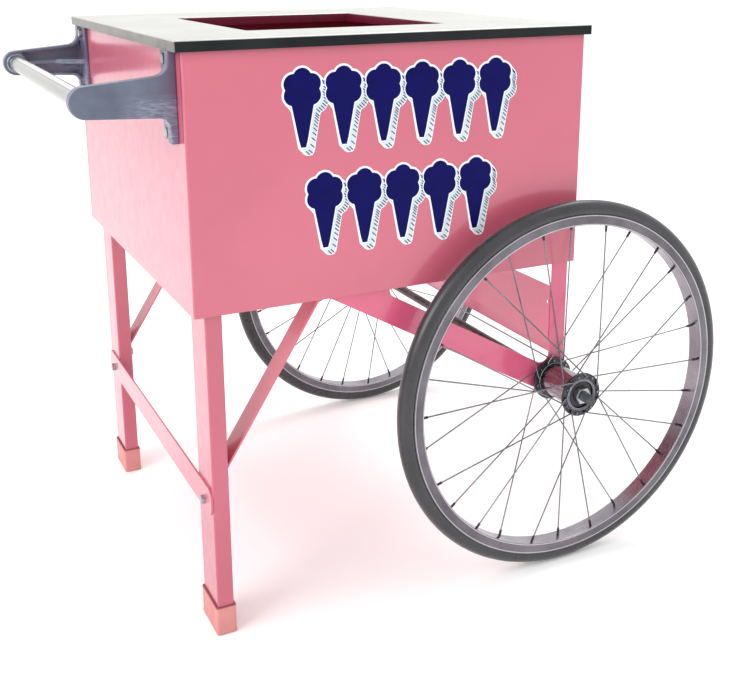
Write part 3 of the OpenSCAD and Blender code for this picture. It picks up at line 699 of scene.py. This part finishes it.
def tyre(side):
    """A smooth solid tyre with a faint mould line and bead shoulders."""
    s = SIDES[side]
    reach, steps, line_at, foot = 128, 40, 62, 10.6
    pts = []
    for i in range(steps + 1):
        a = -reach + 2 * reach * i / steps
        r = TYRE_R + TYRE_HALF * math.cos(math.radians(a))
        groove = 0.35 if abs(abs(a) - line_at) < 3.3 else 0
        pts.append((r - groove, TYRE_HALF * math.sin(math.radians(a))))
    pts += [(RIM_R - 3.0, foot), (RIM_R - 6.0, foot), (RIM_R - 6.0, -foot), (RIM_R - 3.0, -foot)]
    lathe(f"{side}_tyre_rubber", pts, s * WHEEL_Y, 220, mats["tyre_rubber"], f"wheel_{side}",
          [f"{side}_tyre"])


def rim(side):
    """A box-section rim: rounded lips, a groove in each flat flank and a flat spoke bed."""
    s = SIDES[side]
    half = RIM_HALF
    in_half = half - 1.6
    pts = arc(RIM_R - 0.9, half - 0.9, 0.9, 0, 90, 4)
    groove = [(1.9, 0.1), (2.5, 0.7), (3.1, 0.1), (4.0, 0.0)]
    pts += [(RIM_R - down, half - deep) for down, deep in groove]
    pts += [(RIM_BED + 3.2, half), (RIM_BED + 1.9, half - 0.2)]
    pts += arc(RIM_BED + 1.4, half - 1.6, 1.4, 90, 180, 4)
    pts += [(RIM_BED, half - 3.2), (RIM_BED, 0.0)]
    left = [(r, -d) for r, d in reversed(pts[:-1])]
    inner = [(RIM_R - 0.9, -in_half), (RIM_R - 6.8, 0.2 - in_half), (RIM_R - 7.0, 0)]
    inner += [(RIM_R - 6.8, in_half - 0.2), (RIM_R - 0.9, in_half)]
    o = lathe(f"{side}_rim_section", pts + left + inner, s * WHEEL_Y, 220, mats["rim_aluminium"],
              f"wheel_{side}", [f"{side}_rim"])
    o.modifiers.new("shade", "WEIGHTED_NORMAL")


def hub_trim(side):
    """Bright turned rings on the hub's open ends and a dark dust seal in each."""
    s = SIDES[side]
    for end, tag in ((1, "outer"), (-1, "inner")):
        prof = arc(24.6, 0.5, 0.9, 0, 360, 12)[:-1]
        lathe(f"{side}_hub_ring_{tag}", prof, s * (WHEEL_Y + end * 39.9), 96, mats["collar"],
              f"wheel_{side}", outward=s * end)
        seal = [(22.3, 0.0), (22.3, 1.2), (20.6, 1.7), (19.8, 0.9), (15.6, 0.9), (14.6, 1.7), (12.6, 1.7),
                (12.4, 0.0)]
        lathe(f"{side}_hub_seal_{tag}", seal, s * (WHEEL_Y + end * 34.1), 72, mats["seal"],
              f"wheel_{side}", outward=s * end)


def threaded_axle():
    """The axle bar with chamfered, threaded ends that stand out of the outer nuts."""
    r, end, start, pitch = 8.0, 433.0, 402.0, 1.5
    half = [(0.4, end - 0.3), (r - 2.0, end), (r - 1.0, end - 0.7)]
    y = end - 1.2
    while y > start:
        half += [(r - 0.75, y), (r - 0.02, y - pitch * 0.45), (r - 0.02, y - pitch * 0.55)]
        y -= pitch
    half += [(r - 0.75, y), (r, y - 0.8), (r, 300.0), (r, 100.0)]
    profile = half + [(q, -d) for q, d in reversed(half)]
    o = lathe("axle_threaded", profile, 0.0, 56, mats["axle_steel"], "cart", ["axle"])
    o.modifiers.new("shade", "WEIGHTED_NORMAL")
    sharp = o.modifiers.new("split", "EDGE_SPLIT")
    sharp.split_angle = math.radians(38)


for side in SIDES:
    tyre(side)
    rim(side)
    hub_trim(side)
threaded_axle()


# ---------- handle ----------


def fillet(p, q, r, size, n=8):
    """An arc that rounds the corner q between p and r."""
    d0 = Vector((p[0] - q[0], p[1] - q[1])).normalized()
    d1 = Vector((r[0] - q[0], r[1] - q[1])).normalized()
    half = d0.angle(d1) / 2
    t = size / math.tan(half)
    mid = Vector(q) + (d0 + d1).normalized() * (size / math.sin(half))
    a, b = Vector(q) + d0 * t - mid, Vector(q) + d1 * t - mid
    turn = a.angle_signed(b)
    a0 = math.atan2(a.y, a.x)
    angles = [a0 - turn * i / n for i in range(n + 1)]
    return [(mid.x + size * math.cos(t), mid.y + size * math.sin(t)) for t in angles]


def arm_outline(inset=0.0):
    """Side view of an arm: round tip, straight edges, swept up and down into the foot."""
    wall = BODY_X0 - FOOT_T
    tip = 21.0 - inset
    top, low, foot = 30.0 - inset, 26.0 - inset, FOOT_HALF - inset
    slope_top = math.degrees(math.asin((top - tip) / 95.0))
    slope_low = math.degrees(math.asin((low - tip) / 95.0))
    pts = arc(HANDLE_X, HANDLE_Z, tip, 90 + slope_top * 0.6, 270 - slope_low * 0.6, 26)
    corner_x = wall - 6.0 + inset
    foot_top = (wall - 5.0 + inset, HANDLE_Z + foot)
    foot_low = (wall - 5.0 + inset, HANDLE_Z - foot)
    pts += fillet(pts[-1], (corner_x, HANDLE_Z - low), foot_low, 15.0)
    pts += [foot_low, (wall + 4.0, foot_low[1]), (wall + 4.0, foot_top[1]), foot_top]
    pts += fillet(foot_top, (corner_x, HANDLE_Z + top), pts[0], 18.0)
    return pts


def cast_bracket(side):
    """A bracket as a casting: plates, ribs and bosses fused and relaxed, so corners are round."""
    s = SIDES[side]
    arm_in, foot_in = ARM_Y - ARM_T, ARM_Y - FOOT_W
    bm = bmesh.new()

    def at_depth(y0):
        return lambda u, v, d: (u, s * (y0 - d), v)

    outer, inner = arm_outline(), arm_outline(ARM_RIM)
    prism(bm, outer, at_depth(ARM_Y), ARM_WEB)
    # the raised border on the inner side
    n = len(outer)
    for i in range(n):
        k = (i + 1) % n
        quad = [outer[i], outer[k], inner[k], inner[i]]
        if min(math.dist(quad[0], quad[1]), math.dist(quad[2], quad[3])) > 0.02:
            prism(bm, quad, at_depth(ARM_Y - 5.0), ARM_T - 5.0)
    # the foot plate
    low, high = HANDLE_Z - FOOT_HALF, HANDLE_Z + FOOT_HALF
    plate = [(foot_in, low), (ARM_Y, low), (ARM_Y, high), (foot_in, high)]
    prism(bm, plate, lambda u, v, d: (BODY_X0 - d, s * u, v), FOOT_T + 0.6)
    # the socket boss, the middle rib and the gusset
    boss = arc(HANDLE_X, HANDLE_Z, 19.5, 0, 360, 40)[:-1]
    prism(bm, boss, at_depth(ARM_Y - 1.0), ARM_T - 1.0)
    rib_half, rib_end = 3.4, BODY_X0 - 2.0
    rib = [(HANDLE_X, HANDLE_Z - rib_half), (rib_end, HANDLE_Z - rib_half)]
    rib += [(rib_end, HANDLE_Z + rib_half), (HANDLE_X, HANDLE_Z + rib_half)]
    prism(bm, rib, at_depth(ARM_Y - 3.0), ARM_T - 4.5)
    gusset = [(BODY_X0 - 5.0, arm_in + 1), (BODY_X0 - 50.0, arm_in + 1), (BODY_X0 - 5.0, foot_in + 8)]
    prism(bm, gusset, lambda u, v, d: (u, s * v, HANDLE_Z - 4 + d), 8.0)

    name = f"handle_bracket_{side}"
    o = finish_mesh(f"{name}_cast", bm, mats["handle_cast_paint"], "cart", [name])
    fuse_and_relax(o)


def fuse_and_relax(o):
    """Joins a piece's overlapping shapes into one skin and rounds its corners."""
    fuse = o.modifiers.new("fuse", "REMESH")
    fuse.mode = "VOXEL"
    fuse.voxel_size = 0.9 * MM
    fuse.use_smooth_shade = True
    relax = o.modifiers.new("relax", "SMOOTH")
    relax.factor = 0.5
    relax.iterations = 9


def handle_collar(side):
    """The bright ring where the tube enters a bracket."""
    s = SIDES[side]
    tight, wide = HANDLE_R + 0.15, HANDLE_R + 3.6
    prof = [(tight, 0.5), (wide, 0.5), (wide, -2.0), (wide - 0.6, -3.0)]
    prof += [(HANDLE_R + 1.2, -3.6), (tight, -3.6)]
    o = lathe(f"handle_collar_{side}", prof, s * (ARM_Y - ARM_T), 64, mats["collar"], "cart",
              outward=s, centre=(HANDLE_X, HANDLE_Z))
    o.modifiers.new("shade", "WEIGHTED_NORMAL")


for side in SIDES:
    cast_bracket(side)
    handle_collar(side)


# ---------- decal: candy puffs on paper cones, in two rows ----------

PUFF_R = 25.0
CONE = ((-17.0, -17.0), (17.0, -17.0), (4.5, -79.0), (-4.5, -79.0))
PITCH = 61.2
ROWS = ((6, 4.05 * PUFF_R), (5, -1.75 * PUFF_R))
DROP = (8.0, -9.0)  # direction and length of the shade


def ray_circle(a, cx, cy, r):
    """Farthest crossing of a ray from 0 at angle a with a circle, or 0."""
    b = cx * math.cos(a) + cy * math.sin(a)
    q = b * b - (cx * cx + cy * cy - r * r)
    return max(0.0, b + math.sqrt(q)) if q > 0 else 0.0


def ray_polygon(a, poly):
    """Farthest crossing of a ray from 0 at angle a with a polygon, or 0."""
    c, s = math.cos(a), math.sin(a)
    best = 0.0
    for (x0, y0), (x1, y1) in zip(poly, poly[1:] + poly[:1]):
        ex, ey = x1 - x0, y1 - y0
        den = c * ey - s * ex
        if abs(den) < 1e-9:
            continue
        t = (x0 * ey - y0 * ex) / den
        u = (x0 * s - y0 * c) / den
        if t > 0 and 0 <= u <= 1:
            best = max(best, t)
    return best


def all_round(reach, n):
    """The outline whose distance from 0 at angle a is reach(a), by n points."""
    far = [(a, reach(a)) for a in (2 * math.pi * i / n for i in range(n))]
    return [(r * math.cos(a), r * math.sin(a)) for a, r in far]


def icon_outline(grow=0.0):
    """The outline of one puff and its cone round the puff's middle."""
    lobe_at, lobe_r = 0.62 * PUFF_R, 0.55 * PUFF_R + grow
    turns = [math.radians(90 + 60 * i) for i in range(6)]
    lobes = [(lobe_at * math.cos(t), lobe_at * math.sin(t)) for t in turns]
    cone = [(x + math.copysign(grow, x), y + (grow if y > -40 else -grow)) for x, y in CONE]

    def reach(a):
        far = [ray_circle(a, x, y, lobe_r) for x, y in lobes]
        return max(far + [ray_polygon(a, cone), 0.7 * PUFF_R + grow])

    return all_round(reach, 132)


def drop(outline):
    """The outline swept down and right, as seen from its middle."""
    steps = 6
    moved = [[(x + DROP[0] * k / steps, y + DROP[1] * k / steps) for x, y in outline]
             for k in range(steps + 1)]
    return all_round(lambda a: max(ray_polygon(a, shape) for shape in moved), len(outline))


def icon_places():
    """A mapping of (u, v, depth) to the front panel for each icon."""
    for count, v0 in ROWS:
        for i in range(count):
            x0, z0 = DECAL_X + (i - (count - 1) / 2) * PITCH, DECAL_Z + v0
            yield lambda u, v, d, x0=x0, z0=z0: (x0 + u, -HALF_W - d, z0 + v)


def decal_layer(name, outline, material, depth, thick, replaces=()):
    """One printed layer of every icon, at a depth in front of the panel."""
    bm = bmesh.new()
    for place in icon_places():
        prism(bm, outline, lambda u, v, d, at=place: at(u, v, depth + d), thick)
    finish_mesh(name, bm, material, "cart", replaces, smooth=False)


def hatch_strokes():
    """The four corners of each short diagonal stroke along the lower right of a shade."""
    spacing, half, dx, dy = 2.9, 0.5, -5.6, 5.2
    edge = drop(icon_outline(1.0))
    gone = 0.0
    for (x0, y0), (x1, y1) in zip(edge, edge[1:] + edge[:1]):
        nx, ny = y1 - y0, -(x1 - x0)
        step = math.hypot(nx, ny)
        if step < 1e-6 or (nx - ny) / step < 0.35:
            continue
        gone += step
        if gone < spacing:
            continue
        gone = 0.0
        ax, ay = x1 + 0.7, y1 - 0.7
        bx, by = ax + dx, ay + dy
        yield [(ax - half, ay - half), (ax + half, ay + half), (bx + half, by + half), (bx - half, by - half)]


def hatch_layer():
    """The hatching of every icon's shade."""
    strokes = list(hatch_strokes())
    bm = bmesh.new()
    for place in icon_places():
        for stroke in strokes:
            prism(bm, stroke, lambda u, v, d, at=place: at(u, v, 0.2 + d), 0.08)
    finish_mesh("decal_hatch", bm, mats["decal_print"], "cart", smooth=False)


decal_layer("decal_shadow_edge", drop(icon_outline(2.9)), mats["decal_white"], 0.0, 0.1)
decal_layer("decal_shadow", drop(icon_outline(1.5)), mats["decal_pale"], 0.1, 0.1)
hatch_layer()
decal_layer("decal_border", icon_outline(1.4), mats["decal_white"], 0.28, 0.06)
decal_layer("decal_puffs", icon_outline(), mats["decal_print"], 0.34, 0.06, ["side_decal"])


# ---------- stage, lights and camera ----------


def stage():
    """A white floor that bends up into a back wall."""
    bm = bmesh.new()
    far, near, side, top, r = 9.0, -7.0, 12.0, 8.0, 3.0
    prof = [(near, 0.0), (far - r, 0.0)]
    bend = [math.radians(a) for a in range(10, 91, 10)]
    prof += [(far - r + r * math.sin(t), r - r * math.cos(t)) for t in bend]
    prof += [(far, top)]
    cols = [[bm.verts.new((x, y, z - 0.0005)) for x in (-side, side)] for y, z in prof]
    for a, b in zip(cols, cols[1:]):
        bm.faces.new((a[0], a[1], b[1], b[0]))
    me = bpy.data.meshes.new("floor")
    bm.to_mesh(me)
    bm.free()
    me.polygons.foreach_set("use_smooth", [True] * len(me.polygons))
    o = bpy.data.objects.new("floor", me)
    scene.collection.objects.link(o)
    m = Mat("floor_white", Roughness=0.75, Specular_IOR_Level=0.15, Emission_Strength=0.1)
    m.p.inputs["Emission Color"].default_value = (1, 1, 1, 1)
    m.p.inputs["Base Color"].default_value = (0.95, 0.95, 0.95, 1)
    me.materials.append(m.m)


def area(name, place, size, power):
    """A rectangular lamp aimed at the cart."""
    light = bpy.data.lights.new(name, "AREA")
    light.shape = "RECTANGLE"
    light.size, light.size_y = size
    light.energy = power
    o = bpy.data.objects.new(name, light)
    scene.collection.objects.link(o)
    o.location = place
    o.rotation_euler = (Vector((0, 0, 0.5)) - Vector(place)).to_track_quat("-Z", "Y").to_euler()


def lights():
    """An even white studio with a key from the handle end and a lamp above the far side."""
    world = bpy.data.worlds.new("studio")
    scene.world = world
    world.use_nodes = True
    bg = world.node_tree.nodes["Background"]
    bg.inputs["Color"].default_value = (1, 1, 1, 1)
    bg.inputs["Strength"].default_value = 1.04
    area("key", (-3.4, -1.0, 2.4), (2.2, 2.0), 72)
    area("back", (2.2, 1.3, 4.5), (2.6, 2.6), 80)


def camera():
    """The view from the handle end, low over the countertop."""
    cam = bpy.data.cameras.new("camera")
    o = bpy.data.objects.new("camera", cam)
    scene.collection.objects.link(o)
    cam.sensor_width = 36
    cam.lens = 51.2
    cam.shift_y = -0.1461
    o.location = (-0.756, -1.6405, 0.9741)
    o.rotation_euler = Euler([math.radians(a) for a in (75.407, 0.276, -26.064)])
    scene.camera = o


stage()
lights()
camera()
scene.view_settings.view_transform = "Standard"
